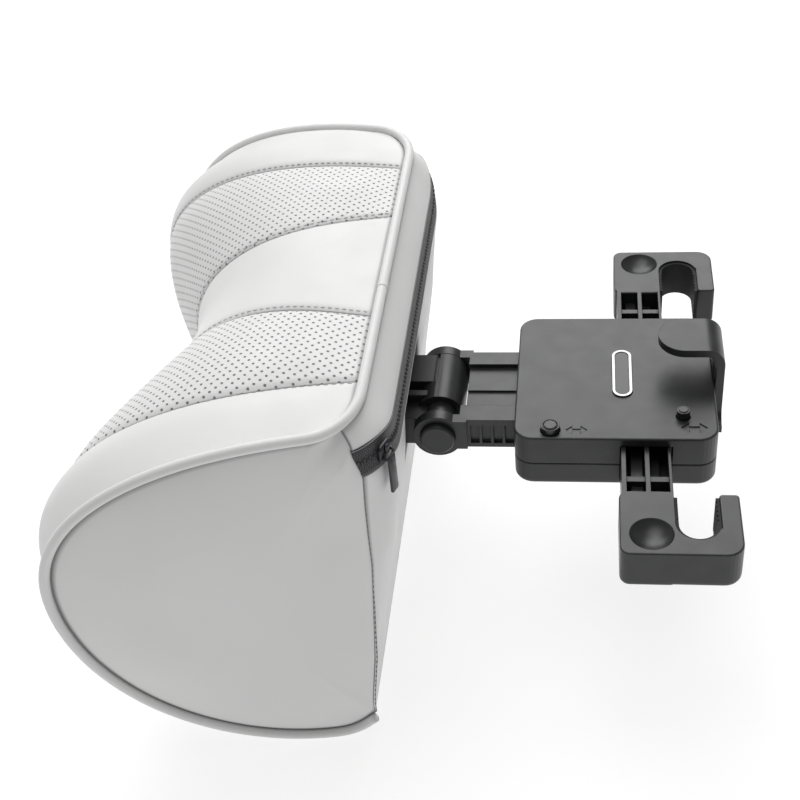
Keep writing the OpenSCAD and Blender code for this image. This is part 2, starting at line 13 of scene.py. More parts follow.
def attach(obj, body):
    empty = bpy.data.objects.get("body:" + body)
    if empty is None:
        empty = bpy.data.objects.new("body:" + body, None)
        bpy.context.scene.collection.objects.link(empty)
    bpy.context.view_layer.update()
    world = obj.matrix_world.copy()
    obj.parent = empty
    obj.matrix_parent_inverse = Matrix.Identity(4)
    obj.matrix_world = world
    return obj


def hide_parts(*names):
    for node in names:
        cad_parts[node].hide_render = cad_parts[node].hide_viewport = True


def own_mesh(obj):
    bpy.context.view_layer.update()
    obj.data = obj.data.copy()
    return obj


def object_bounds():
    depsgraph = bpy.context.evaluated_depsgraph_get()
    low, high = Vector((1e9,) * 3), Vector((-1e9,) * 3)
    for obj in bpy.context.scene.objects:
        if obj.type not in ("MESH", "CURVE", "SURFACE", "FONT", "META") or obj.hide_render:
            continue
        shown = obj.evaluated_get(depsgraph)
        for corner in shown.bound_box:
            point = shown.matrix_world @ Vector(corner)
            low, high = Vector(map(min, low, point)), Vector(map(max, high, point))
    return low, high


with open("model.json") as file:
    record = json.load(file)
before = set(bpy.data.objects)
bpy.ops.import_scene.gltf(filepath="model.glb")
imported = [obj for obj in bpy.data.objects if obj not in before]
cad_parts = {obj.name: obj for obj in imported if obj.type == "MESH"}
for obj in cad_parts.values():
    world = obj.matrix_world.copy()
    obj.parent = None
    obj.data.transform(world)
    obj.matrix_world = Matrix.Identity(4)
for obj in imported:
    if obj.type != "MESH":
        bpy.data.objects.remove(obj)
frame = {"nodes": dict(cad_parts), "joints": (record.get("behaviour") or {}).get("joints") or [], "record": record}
cad_low, cad_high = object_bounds()
MM = 0.001

# ---------- camera ----------

CAMERA_PLACE = (0.4655, -0.04324, 0.38496)
CAMERA_YAW, CAMERA_PITCH, CAMERA_ROLL = 10.079, 39.233, -6.159
CAMERA_LENS = 61.08


def make_camera():
    data = bpy.data.cameras.new("camera")
    data.lens = CAMERA_LENS
    data.clip_start = 0.01
    camera = bpy.data.objects.new("camera", data)
    bpy.context.scene.collection.objects.link(camera)
    yaw, pitch, roll = (math.radians(a) for a in (CAMERA_YAW, CAMERA_PITCH, CAMERA_ROLL))
    turn = Matrix.Rotation(yaw, 3, "Z")
    level, side, up = turn @ Vector((-1, 0, 0)), turn @ Vector((0, 1, 0)), Vector((0, 0, 1))
    ahead = level * math.cos(pitch) - up * math.sin(pitch)
    above = up * math.cos(pitch) + level * math.sin(pitch)
    across = side * math.cos(roll) + above * math.sin(roll)
    upright = above * math.cos(roll) - side * math.sin(roll)
    matrix = Matrix((across, upright, -ahead)).transposed().to_4x4()
    matrix.translation = Vector(CAMERA_PLACE)
    camera.matrix_world = matrix
    bpy.context.scene.camera = camera


make_camera()

# ---------- materials ----------


class Finish:
    """A Principled material and short ways to add nodes to it."""

    def __init__(self, name, colour, roughness, metallic=0.0, specular=0.5, coat=0.0, sheen=0.0):
        self.material = bpy.data.materials.new(name)
        self.material.use_nodes = True
        self.tree = self.material.node_tree
        self.shader = self.tree.nodes["Principled BSDF"]
        self.set("Base Color", (*colour, 1))
        self.set("Roughness", roughness)
        self.set("Metallic", metallic)
        self.set("Specular IOR Level", specular)
        self.set("Coat Weight", coat)
        self.set("Sheen Weight", sheen)
        self.material.diffuse_color = (*colour, 1)
        self.normal = None

    def set(self, socket, value):
        self.shader.inputs[socket].default_value = value

    def node(self, kind, **values):
        made = self.tree.nodes.new(kind)
        for name, value in values.items():
            if hasattr(made, name):
                setattr(made, name, value)
            else:
                made.inputs[name.replace("_", " ")].default_value = value
        return made

    def link(self, a, b):
        self.tree.links.new(a, b)

    def math(self, operation, a, b=None):
        made = self.node("ShaderNodeMath", operation=operation)
        for slot, value in enumerate((a, b)):
            if value is None:
                continue
            if isinstance(value, (int, float)):
                made.inputs[slot].default_value = value
            else:
                self.link(value, made.inputs[slot])
        return made.outputs[0]

    def place(self):
        return self.node("ShaderNodeTexCoord").outputs["Object"]

    def noise(self, scale, detail=3.0, roughness=0.55):
        made = self.node("ShaderNodeTexNoise", Scale=scale, Detail=detail, Roughness=roughness)
        self.link(self.place(), made.inputs["Vector"])
        return made.outputs["Fac"]

    def cells(self, scale):
        made = self.node("ShaderNodeTexVoronoi", feature="DISTANCE_TO_EDGE", Scale=scale)
        self.link(self.place(), made.inputs["Vector"])
        return made.outputs["Distance"]

    def bump(self, height, strength, depth):
        made = self.node("ShaderNodeBump", Strength=strength, Distance=depth)
        self.link(height, made.inputs["Height"])
        if self.normal is not None:
            self.link(self.normal, made.inputs["Normal"])
        self.normal = made.outputs["Normal"]
        self.link(self.normal, self.shader.inputs["Normal"])

    def round_edges(self, radius):
        made = self.node("ShaderNodeBevel", samples=6, Radius=radius)
        self.normal = made.outputs["Normal"]
        self.link(self.normal, self.shader.inputs["Normal"])

    def vary(self, socket, factor, low, high, start=0.35, end=0.65):
        """Drives a socket between two values or colours by a factor."""
        colour = isinstance(low, tuple)
        if colour:
            ramp = self.node("ShaderNodeValToRGB")
            ramp.color_ramp.elements[0].position = start
            ramp.color_ramp.elements[1].position = end
            ramp.color_ramp.elements[0].color = (*low, 1)
            ramp.color_ramp.elements[1].color = (*high, 1)
            self.link(factor, ramp.inputs["Fac"])
            self.link(ramp.outputs["Color"], self.shader.inputs[socket])
            return ramp.outputs["Color"]
        ranged = self.node("ShaderNodeMapRange", From_Min=start, From_Max=end, To_Min=low, To_Max=high)
        self.link(factor, ranged.inputs["Value"])
        self.link(ranged.outputs["Result"], self.shader.inputs[socket])
        return ranged.outputs["Result"]

    def mix(self, factor, a, b):
        """Colour a where factor is 0 and b where it is 1."""
        made = self.node("ShaderNodeMix", data_type="RGBA")
        self.link(factor, made.inputs["Factor"])
        for slot, value in ((6, a), (7, b)):
            if isinstance(value, tuple):
                made.inputs[slot].default_value = (*value, 1)
            else:
                self.link(value, made.inputs[slot])
        return made.outputs[2]


LEATHER_LIGHT = (0.75, 0.75, 0.745)
LEATHER_DARK = (0.725, 0.725, 0.72)
# Painted shade: the colour that the leather is darkened towards along its seams and beside its piping
PAINTED_SEAM_SHADE = (0.12, 0.12, 0.125)
# Painted shade: the colour that the perforations are darkened towards, for the shade inside the holes
HOLE_SHADE = (0.16, 0.16, 0.165)
HOLE_PITCH = 0.0043
HOLE_RADIUS = 0.0005
GRAIN_SCALE = 900
WEAVE_ROW, WEAVE_RIB, WEAVE_SLANT = 0.0028, 0.0011, 2.4


def cloth_axes(made):
    """The cloth's own coordinates, in metres across and along it."""
    axes = made.node("ShaderNodeSeparateXYZ")
    made.link(made.node("ShaderNodeUVMap", uv_map="cloth").outputs["UV"], axes.inputs[0])
    return axes.outputs


def hole_pattern(made):
    """1 in the holes and 0 between them: two square grids, half a pitch apart both ways. It sets the holes' bump
    and their painted shade.
    """
    axes = cloth_axes(made)
    nearest = None
    for shift in (0.0, 0.5):
        parts = []
        for axis in ("X", "Y"):
            turns = made.math("ADD", made.math("DIVIDE", axes[axis], HOLE_PITCH), shift)
            parts.append(made.math("SUBTRACT", made.math("FRACT", turns), 0.5))
        across = made.math("MULTIPLY", parts[0], parts[0])
        along = made.math("MULTIPLY", parts[1], parts[1])
        reach = made.math("SQRT", made.math("ADD", across, along))
        nearest = reach if nearest is None else made.math("MINIMUM", nearest, reach)
    edge = made.node("ShaderNodeMapRange", interpolation_type="SMOOTHSTEP")
    made.link(nearest, edge.inputs["Value"])
    radius = HOLE_RADIUS / HOLE_PITCH
    edge.inputs["From Min"].default_value = radius * 0.75
    edge.inputs["From Max"].default_value = radius * 1.3
    edge.inputs["To Min"].default_value = 1.0
    edge.inputs["To Max"].default_value = 0.0
    return edge.outputs["Result"]


def leather(name, perforated=False):
    """Synthetic leather: fine grain, faint mottling, painted shade along its seams, painted shadow beside its
    piping, and holes with painted shade in them if it is perforated.
    """
    made = Finish(name, LEATHER_LIGHT, 0.5, specular=0.35, sheen=0.08)
    tone = made.vary("Base Color", made.noise(14, 4), LEATHER_DARK, LEATHER_LIGHT)
    # Painted shade and shadow: the 'seam' attribute darkens the leather along its seams and beside the piping
    seam = made.node("ShaderNodeAttribute", attribute_name="seam").outputs["Fac"]
    tone = made.mix(seam, tone, PAINTED_SEAM_SHADE)
    made.bump(made.cells(GRAIN_SCALE), 0.22, 0.00012)
    made.bump(made.noise(160, 3), 0.25, 0.00025)
    if perforated:
        hole = hole_pattern(made)
        # Painted shade: the holes are darkened for the shade inside them
        tone = made.mix(hole, tone, HOLE_SHADE)
        made.bump(made.math("SUBTRACT", 1.0, hole), 0.8, 0.0004)
    made.link(tone, made.shader.inputs["Base Color"])
    made.vary("Roughness", made.noise(60, 2), 0.42, 0.56)
    return made.material


def moulded_plastic(name, colour, roughness, grain=0.5):
    """Satin moulding: spark-eroded texture, slight gloss patches and softened edges."""
    made = Finish(name, colour, roughness, specular=0.5)
    made.round_edges(0.0004)
    made.bump(made.noise(2600, 2, 0.6), grain, 0.00005)
    bright = tuple(min(1.0, c * 1.35 + 0.002) for c in colour)
    made.vary("Base Color", made.noise(90, 4), colour, bright)
    made.vary("Roughness", made.noise(120, 3), roughness - 0.02, roughness + 0.03)
    return made.material


def plain_metal(name, colour, roughness, scratch=0.25):
    made = Finish(name, colour, roughness, metallic=1.0)
    made.round_edges(0.0002)
    made.bump(made.noise(700, 4), scratch, 0.00003)
    made.vary("Roughness", made.noise(180, 3), roughness * 0.8, roughness * 1.4)
    return made.material


def woven(name):
    """Black zip tape with a herringbone weave."""
    made = Finish(name, (0.035, 0.035, 0.038), 0.85, specular=0.2, sheen=0.3)
    axes = cloth_axes(made)
    rows = made.math("FRACT", made.math("DIVIDE", axes["Y"], WEAVE_ROW))
    zigzag = made.math("ABSOLUTE", made.math("SUBTRACT", rows, 0.5))
    ribs = made.math("DIVIDE", axes["X"], WEAVE_RIB)
    ribs = made.math("ADD", ribs, made.math("MULTIPLY", zigzag, WEAVE_SLANT))
    wave = made.math("ABSOLUTE", made.math("SUBTRACT", made.math("FRACT", ribs), 0.5))
    tone = made.vary("Base Color", wave, (0.018, 0.018, 0.02), (0.1, 0.1, 0.105), 0.12, 0.42)
    made.bump(wave, 0.8, 0.0003)
    made.link(tone, made.shader.inputs["Base Color"])
    return made.material


def soft_rubber(name):
    made = Finish(name, (0.022, 0.022, 0.023), 0.7, specular=0.3)
    made.bump(made.noise(1200, 3), 0.4, 0.00006)
    made.vary("Roughness", made.noise(90, 3), 0.62, 0.8)
    return made.material


def open_foam(name):
    made = Finish(name, (0.78, 0.74, 0.58), 0.95, specular=0.1)
    made.bump(made.cells(1400), 0.9, 0.0006)
    made.vary("Base Color", made.noise(30, 4), (0.7, 0.65, 0.48), (0.82, 0.78, 0.63))
    return made.material


def sewing_thread(name, colour):
    made = Finish(name, colour, 0.7, specular=0.25, sheen=0.2)
    made.bump(made.noise(3500, 2), 0.6, 0.00008)
    made.vary("Base Color", made.noise(300, 2), tuple(c * 0.8 for c in colour), colour)
    return made.material


bracket = moulded_plastic("bracket_satin", (0.014, 0.0145, 0.0155), 0.36)
button = moulded_plastic("button_satin", (0.012, 0.0125, 0.0135), 0.3, 0.3)
cap_leather = leather("leather_plain")
band_leather = leather("leather_perforated", perforated=True)
light_thread = sewing_thread("thread_light", (0.6, 0.6, 0.6))
grey_thread = sewing_thread("thread_grey", (0.4, 0.4, 0.405))
dark_thread = sewing_thread("thread_dark", (0.18, 0.18, 0.185))
tape_fabric = woven("zip_tape_weave")
black_metal = plain_metal("black_lacquered_metal", (0.05, 0.05, 0.055), 0.32)
bright_wire = plain_metal("bright_wire", (0.72, 0.72, 0.74), 0.25)
zip_nylon = moulded_plastic("zip_nylon", (0.03, 0.03, 0.033), 0.4, 0.2)

SLOT_FINISH = {
    "bracket_plastic": bracket,
    "button_plastic": button,
    "gear_plastic": moulded_plastic("acetal_white", (0.72, 0.7, 0.62), 0.4, 0.2),
    "plate_plastic": moulded_plastic("plate_grey", (0.16, 0.16, 0.165), 0.55, 0.6),
    "liner_rubber": soft_rubber("liner_soft"),
    "screw_steel": plain_metal("zinc_steel", (0.62, 0.62, 0.64), 0.34),
    "spring_steel": bright_wire,
    "badge_chrome": plain_metal("badge_bright", (0.33, 0.33, 0.34), 0.2, 0.05),
    "badge_gloss": moulded_plastic("badge_black", (0.012, 0.012, 0.013), 0.12, 0.02),
    "pillow_leather": cap_leather,
    "piping_leather": cap_leather,
    "pillow_foam": open_foam("foam_cream"),
    "zip_fabric": tape_fabric,
    "zip_metal": black_metal,
}

for part in frame["record"]["subparts"]:
    node = frame["nodes"][part["node"]]
    node.data.materials.clear()
    node.data.materials.append(SLOT_FINISH[part["material_slot"]])

# ---------- pillow shape ----------

BACK_Y = -127.0          # where the half width is measured
HALF_BACK = 108.9        # half width there
FLARE = 0.2125           # how the end caps flare towards the front
SEAM_Y = -125.5          # top seam between the face and the gusset
FLAT_Y = -139.0          # where the top starts to fall
TOP_Z, NOSE_Z = 73.4, 8.4
NOSE_MIDDLE, NOSE_WING = 216.0, 38.0      # how far out the front is in the middle, and the wings' extra
WING_AT, WING_DROP = 0.8, 9.0             # station of a wing's crest, and how far the front falls beyond it
BELLY = (-146.0, -91.6)
HEEL_BEND = (-138.0, -91.6)
HEEL = (-131.0, -84.0)
CORNER_DEPTH, CORNER_START = 12.8, 0.8    # how far, and from where, the top seam sweeps forward
GUSSET_END = 0.949       # where the end caps' seams meet the top seam
BACK_TURN, BACK_TURN_START = 11.0, 0.76   # how far, and from where, the back turns in at the end caps
ZIP_RISE, ZIP_RISE_START = 7.0, 0.70      # how far, and from where, the zip climbs towards the end caps
UPPER_POWER, LOWER_POWER = 2 / 2.3, 2 / 1.9
ROWS = 118
STATIONS = 181
SEAM_INSETS = (0, 0.35, 0.8, 1.4, 2.2, 3.2, 4.6, 6.4)   # mesh lines beside a seam
BACK_PROFILE_Z = (-84, -77, -47, -17, 0, 16, 30, 45, 57)
BACK_PROFILE_Y = (-131, -131, -127, -121.8, -118.8, -117, -115.2, -112.9, -114.9)
BACK_TUCK = (0, 0, 0, 0.5, 1.4, 2.2, 2.0, 0, 0)   # how much further in the back is, away from the end caps
ZIP_HIGH, ZIP_LOW = 57.0, 45.0


def ease(t):
    t = np.clip(t, 0, 1)
    return t * t * (3 - 2 * t)


def half_width(y):
    return HALF_BACK + FLARE * (BACK_Y - y)


def nose(s):
    """Front of the pillow across its width: a saddle between two wings."""
    a = np.abs(s)
    crest = NOSE_MIDDLE + NOSE_WING * ease(a / WING_AT)
    return WING_DROP * ease((a - WING_AT) / (1 - WING_AT)) - crest


def rounded(s, start, share):
    """0 along the middle, and a quarter-round rise to 1 at the end."""
    u = np.clip((np.abs(s) - start) / (1 - start), 0, 1)
    return (1 - np.sqrt(1 - share * u * u)) / (1 - math.sqrt(1 - share))


def top_seam_y(s):
    return SEAM_Y - CORNER_DEPTH * rounded(s, CORNER_START, 0.96)


def back_y(s, z):
    """The pillow's back: steep under the top, leaning forward below, and turned in at the end caps."""
    turn_in = BACK_TURN * np.clip((z + 50) / 100, 0, 1.05)
    tuck = np.interp(z, BACK_PROFILE_Z, BACK_TUCK) * (1 - ease((np.abs(s) - 0.5) / 0.4))
    return np.interp(z, BACK_PROFILE_Z, BACK_PROFILE_Y) - tuck - turn_in * rounded(s, BACK_TURN_START, 0.98)


def back_z(s, z):
    """Height of the back's line z: it climbs towards the end caps, most of all along the zip."""
    climb = ZIP_RISE * ease((np.abs(s) - ZIP_RISE_START) / (1 - ZIP_RISE_START))
    return z + climb * np.clip((z - HEEL[1]) / (ZIP_LOW - HEEL[1]), 0, 1)


def spaced(length, count):
    """Distances along a length, closer together at its two ends."""
    near = np.array(SEAM_INSETS)
    inner = np.linspace(near[-1], length - near[-1], count - 2 * len(near) + 2)
    return np.concatenate([near[:-1], inner, length - near[:-1][::-1]])


def face_section(s):
    """Points (y, z) from the top seam over the nose to the heel, and their distance along it."""
    front = nose(s)
    a = np.radians(np.linspace(0, 90, 61))
    top = [(y, TOP_Z) for y in np.linspace(top_seam_y(s), FLAT_Y, 8)[:-1]]
    upper = [
        (FLAT_Y - (FLAT_Y - front) * math.sin(t) ** UPPER_POWER,
         NOSE_Z + (TOP_Z - NOSE_Z) * max(math.cos(t), 0) ** UPPER_POWER)
        for t in a
    ]
    lower = [
        (BELLY[0] - (BELLY[0] - front) * max(math.cos(t), 0) ** LOWER_POWER,
         NOSE_Z + (BELLY[1] - NOSE_Z) * math.sin(t) ** LOWER_POWER)
        for t in a[1:]
    ]
    heel = [
        tuple((1 - t) ** 2 * b + 2 * t * (1 - t) * c + t * t * e for b, c, e in zip(BELLY, HEEL_BEND, HEEL))
        for t in np.linspace(0, 1, 9)[1:]
    ]
    line = np.array(top + upper + lower + heel)
    along = np.concatenate([[0], np.cumsum(np.linalg.norm(np.diff(line, axis=0), axis=1))])
    at = spaced(along[-1], ROWS)
    return np.stack([np.interp(at, along, line[:, 0]), np.interp(at, along, line[:, 1])], 1), at


stations = np.linspace(-1, 1, STATIONS)
sections = [face_section(s) for s in stations]
section_points = np.array([p for p, _ in sections])
section_lengths = np.array([d for _, d in sections])


def face_points(s_rows):
    """Points on the smooth face. s_rows holds, for each row, the stations across."""
    y = np.empty_like(s_rows)
    z = np.empty_like(s_rows)
    for row in range(ROWS):
        y[row] = np.interp(s_rows[row], stations, section_points[:, row, 0])
        z[row] = np.interp(s_rows[row], stations, section_points[:, row, 1])
    return np.stack([s_rows * half_width(y), y, z], 2)


def lengths_at(s_rows):
    return np.array([np.interp(s_rows[r], stations, section_lengths[:, r]) for r in range(ROWS)])


def normals_of(points):
    """Unit normals of a grid, pointing away along rows x columns."""
    n = np.cross(np.gradient(points, axis=0), np.gradient(points, axis=1))
    return n / np.maximum(np.linalg.norm(n, axis=2, keepdims=True), 1e-9)


# Stations of the seams beside the saddle and the wings: the bands narrow towards the top seam
seam_rows_y = face_points(np.full((ROWS, 1), 0.28))[:, 0, 1]
behind_saddle = np.clip(seam_rows_y + 205, 0, None) / 78
behind_wing = np.clip((seam_rows_y + 215) / 90, 0, 1)
inner_seam = 0.215 + 0.124 * behind_saddle ** 1.5
outer_seam = 0.700 + 0.016 * behind_wing

# ---------- mesh helpers ----------


def to_metres(points):
    return [tuple(p) for p in np.asarray(points, float).reshape(-1, 3) * MM]


def mesh_piece(name, vertices, faces, material, smooth=True):
    mesh = bpy.data.meshes.new(name)
    mesh.from_pydata(to_metres(vertices), [], faces)
    mesh.materials.append(material)
    mesh.validate()
    if smooth:
        mesh.shade_smooth()
    piece = bpy.data.objects.new(name, mesh)
    bpy.context.scene.collection.objects.link(piece)
    return piece


def apply_modifiers(piece):
    evaluated = piece.evaluated_get(bpy.context.evaluated_depsgraph_get())
    mesh = bpy.data.meshes.new_from_object(evaluated)
    piece.modifiers.clear()
    piece.data = mesh
    return piece


def thicken(piece, thickness):
    modifier = piece.modifiers.new("thickness", "SOLIDIFY")
    modifier.thickness = thickness * MM
    modifier.offset = -1
    return apply_modifiers(piece)


def grid_faces(rows, columns, skip=None):
    return [
        (r * columns + c, (r + 1) * columns + c, (r + 1) * columns + c + 1, r * columns + c + 1)
        for r in range(rows - 1)
        for c in range(columns - 1)
        if skip is None or not skip(r, c)
    ]


def sheet_piece(name, points, material, seam=None, uv=None, skip=None, thickness=1.2):
    """A sewn panel from a grid of points, with its painted seam shade and its cloth coordinates."""
    rows, columns = points.shape[:2]
    piece = mesh_piece(name, points, grid_faces(rows, columns, skip), material)
    mesh = piece.data
    if seam is not None:
        # Painted shade along the seams and painted shadow beside the piping, kept as the 'seam' attribute
        attribute = mesh.attributes.new("seam", "FLOAT", "POINT")
        attribute.data.foreach_set("value", np.asarray(seam, np.float32).ravel())
    if uv is not None:
        layer = mesh.uv_layers.new(name="cloth")
        corners = np.empty(len(mesh.loops), np.int32)
        mesh.loops.foreach_get("vertex_index", corners)
        flat = np.asarray(uv, np.float32).reshape(-1, 2) * MM
        layer.data.foreach_set("uv", flat[corners].ravel())
    return thicken(piece, thickness)


def dip(distance, depth, width):
    return -depth * np.exp(-((distance / width) ** 2))


def sewn_shade(distance):
    """Painted shade: a dark line where two panels are sewn together, for the shade in the seam's groove."""
    return np.exp(-((distance / SHADE_WIDTH) ** 2))


def cord_shade(distance):
    """Painted shadow: a dark line along the foot of the piping, and under it, for the shadow that the piping
    casts.
    """
    return np.exp(-((np.maximum(distance - PIPING_RADIUS, 0) / 0.7) ** 2))


# ---------- pillow face ----------

PANEL_SPAN = 48          # typical panel width that the mesh lines beside its seams are set for
COLUMNS = 32
CROWN, CROWN_FADE = 1.5, 25.0             # how far a panel stands out, and how soon from its ends
SOFT_FADE = 12.0         # distance over which unevenness sets in
SEAM_DEPTH, SEAM_WIDTH = 1.0, 1.7
CORD_WIDTH = 2.2         # width of the dip beside the piping
SHADE_WIDTH = 0.5        # dark line in a seam
PIPING_RADIUS = 2.1

panel_edges = {
    "far_end": (np.full(ROWS, -1.0), -outer_seam),
    "far_band": (-outer_seam, -inner_seam),
    "middle": (-inner_seam, inner_seam),
    "near_band": (inner_seam, outer_seam),
    "near_end": (outer_seam, np.full(ROWS, 1.0)),
}


def softness(points):
    """Slow, shallow unevenness of stuffed leather."""
    x, y, z = points[..., 0], points[..., 1], points[..., 2]
    swell = 0.35 * np.sin(x / 17 + 1.3 * np.sin(z / 23)) * np.sin(y / 19 + 0.7)
    ripple = 0.25 * np.sin(z / 13 + x / 29)
    return swell + ripple


def face_panel(name, left, right):
    """One panel of the face: crowned between its seams and drawn in along them."""
    t = spaced(PANEL_SPAN, COLUMNS) / PANEL_SPAN
    s_rows = left[:, None] + (right - left)[:, None] * t[None, :]
    base = face_points(s_rows)
    across = np.concatenate(
        [np.zeros((ROWS, 1)), np.cumsum(np.linalg.norm(np.diff(base, axis=1), axis=2), axis=1)], axis=1
    )
    width = across[:, -1:]
    from_seam = np.minimum(across, width - across)
    along = lengths_at(s_rows)
    from_end = np.minimum(along, along[-1:] - along)
    lift = CROWN * (1 - np.abs(2 * across / width - 1) ** 2.6) * ease(from_end / CROWN_FADE)
    lift += dip(from_seam, SEAM_DEPTH, SEAM_WIDTH) + dip(from_end, SEAM_DEPTH, CORD_WIDTH)
    lift += softness(base) * ease(np.minimum(from_seam, from_end) / SOFT_FADE)
    points = base + normals_of(base) * lift[..., None]
    to_cord = along
    if name == "near_end":
        to_cord = np.minimum(to_cord, width - across)
    if name == "far_end":
        to_cord = np.minimum(to_cord, across)
    # Painted shade along the seams and painted shadow beside the piping
    shade = np.maximum(0.8 * sewn_shade(np.minimum(from_seam, from_end)), 0.55 * cord_shade(to_cord))
    uv = np.stack([across, along], 2)
    return points, shade, uv


face_grids = {}
face_pieces = []
for side, (left, right) in panel_edges.items():
    points, shade, uv = face_panel(side, left, right)
    face_grids[side] = points
    finish = band_leather if side.endswith("band") else cap_leather
    face_pieces.append(sheet_piece("face_" + side, points, finish, shade, uv))

# ---------- pillow back and ends ----------

OPENING_X, OPENING_LOW, OPENING_HIGH = 27.0, -15.0, 16.0


def back_stations():
    """Stations across the back, with lines on the yoke opening's sides and closer ones at the ends."""
    opening = OPENING_X / half_width(-118)
    side = np.linspace(opening, 0.84, 18)
    corner = 0.84 + 0.16 * np.sin(np.radians(np.linspace(0, 90, 15)))[1:]
    right = np.concatenate([side, corner])
    return np.concatenate([-right[::-1], np.linspace(-opening, opening, 11)[1:-1], right])


def back_grid(lines):
    """Grid over the back, a row for each line, which turns stations into stations, y and z."""
    s = back_stations()
    rows = []
    for line in lines:
        across, y, z = line(s)
        rows.append(np.stack([across * half_width(y), y, z], 1))
    return np.array(rows)


def facing_back(points):
    """Outward normals of a back grid whose rows go downwards."""
    n = normals_of(points)
    return n if n[..., 1].mean() > 0 else -n


def strip(share):
    """A line between the top seam and the zip's upper edge."""
    def line(s):
        used = s * (GUSSET_END + (1 - GUSSET_END) * share)
        seam, edge = top_seam_y(used), back_y(used, ZIP_HIGH)
        high = back_z(used, ZIP_HIGH)
        return used, seam + (edge - seam) * share, TOP_Z + (high - TOP_Z) * share
    return line


def level(z):
    return lambda s: (s, back_y(s, z), back_z(s, z))


def run_along(points, axis):
    """Distance along a grid's rows (axis 0) or columns (axis 1), and the whole length of each line."""
    steps = np.linalg.norm(np.diff(points, axis=axis), axis=2)
    start = np.zeros((1, points.shape[1])) if axis == 0 else np.zeros((points.shape[0], 1))
    run = np.concatenate([start, np.cumsum(steps, axis=axis)], axis=axis)
    return run, run[-1:] if axis == 0 else run[:, -1:]


GUSSET_CROWN, GUSSET_SET, GUSSET_FADE = 1.1, 0.4, 15.0
TAPE_OVERLAP, TAPE_SET = 0.6, 0.5
BACK_CROWN, BACK_FADE, HEM_FADE = 0.5, 30.0, 14.0


def make_gusset():
    shares = np.array([0, 0.03, 0.07, 0.13, 0.22, 0.35, 0.5, 0.65, 0.78, 0.87, 0.93, 0.97, 1.0])
    grid = back_grid([strip(t) for t in shares])[:, ::-1]
    down, depth = run_along(grid, 0)
    across, width = run_along(grid, 1)
    from_side = np.minimum(across, width - across)
    crown = GUSSET_CROWN * (1 - np.abs(2 * shares - 1) ** 3)
    bulge = crown[:, None] * ease(from_side / GUSSET_FADE) - GUSSET_SET
    points = grid + facing_back(grid) * bulge[..., None]
    # Painted shadow under the piping and painted shade along the gusset's sewn sides
    shade = np.maximum(0.85 * cord_shade(down), 0.85 * sewn_shade(np.minimum(from_side, depth - down)))
    return sheet_piece("gusset", points, cap_leather, shade), points


def make_zip_tape():
    levels = np.linspace(ZIP_HIGH + TAPE_OVERLAP, ZIP_LOW - TAPE_OVERLAP, 8)
    grid = back_grid([level(z) for z in levels])[:, ::-1]
    points = grid - facing_back(grid) * TAPE_SET
    run = np.concatenate([[0], np.cumsum(np.linalg.norm(np.diff(points[3], axis=0), axis=1))])
    uv = np.stack(np.broadcast_arrays(run[None, :], levels[:, None]), 2)
    return sheet_piece("zip_tape_fabric", points, tape_fabric, uv=uv, thickness=0.6), points


def make_back():
    levels = np.concatenate([
        [ZIP_LOW, ZIP_LOW - 0.5, ZIP_LOW - 1.2, ZIP_LOW - 2.4],
        np.linspace(ZIP_LOW - 5, OPENING_HIGH, 9),
        np.linspace(OPENING_HIGH, OPENING_LOW, 9)[1:],
        np.linspace(OPENING_LOW, -76, 16)[1:],
        HEEL[1] + np.array([5, 3, 1.6, 0.6, 0]),
    ])
    grid = back_grid([level(z) for z in levels])[:, ::-1]
    from_edge = np.minimum(ZIP_LOW - levels, levels - HEEL[1])[:, None]
    across = np.abs(grid[..., 0])
    above, below = grid[..., 2] - OPENING_HIGH, OPENING_LOW - grid[..., 2]
    hem = np.maximum(across - OPENING_X, np.maximum(above, below))
    from_side = half_width(grid[..., 1]) - across
    edge = np.minimum(from_edge, from_side)
    bulge = BACK_CROWN * ease(edge / BACK_FADE) * ease(hem / HEM_FADE)
    bulge += dip(edge, 0.8, 2.0) + dip(hem, 0.5, 2.0)
    points = grid + facing_back(grid) * bulge[..., None]
    # Painted shade along the back's seams
    shade = 0.85 * sewn_shade(edge)

    def in_opening(r, c):
        z = (levels[r] + levels[r + 1]) / 2
        x = (grid[r, c, 0] + grid[r, c + 1, 0]) / 2
        return OPENING_LOW < z < OPENING_HIGH and abs(x) < OPENING_X

    return sheet_piece("back_panel", points, cap_leather, shade, skip=in_opening, thickness=1.6)


gusset, gusset_points = make_gusset()
zip_tape, tape_points = make_zip_tape()
back_panel = make_back()


def cap_outline():
    """The end cap's edge in 3-D: over the face, up the back, and along the top seam's corner."""
    face = section_points[-1]
    face = np.stack([half_width(face[:, 0]), face[:, 0], face[:, 1]], 1)
    rise = np.linspace(HEEL[1], ZIP_HIGH, 44)[1:]
    back = np.stack([half_width(back_y(1.0, rise)), back_y(1.0, rise), back_z(1.0, rise)], 1)
    slope = back_grid([strip(t) for t in np.linspace(1, 0, 9)[1:]])[:, -1]
    s = np.linspace(GUSSET_END, 1, 9)[1:-1]
    y = top_seam_y(s)
    corner = np.stack([s * half_width(y), y, np.full(len(s), TOP_Z)], 1)
    return np.concatenate([face, back, slope, corner]), len(back) + len(slope)


CAP_CENTRE = np.array([-176.0, -4.0])
CAP_CROWN, CAP_WAVE = 6.0, 0.5
CAP_FADE, CAP_TUCK = 14.0, 9.0            # how soon the waves set in, and how far the corner's tuck reaches
CAP_INSETS = (0, 0.4, 0.9, 1.6, 2.6, 4.0, 6.0, 9.0, 13.0)
CAP_RINGS = 20


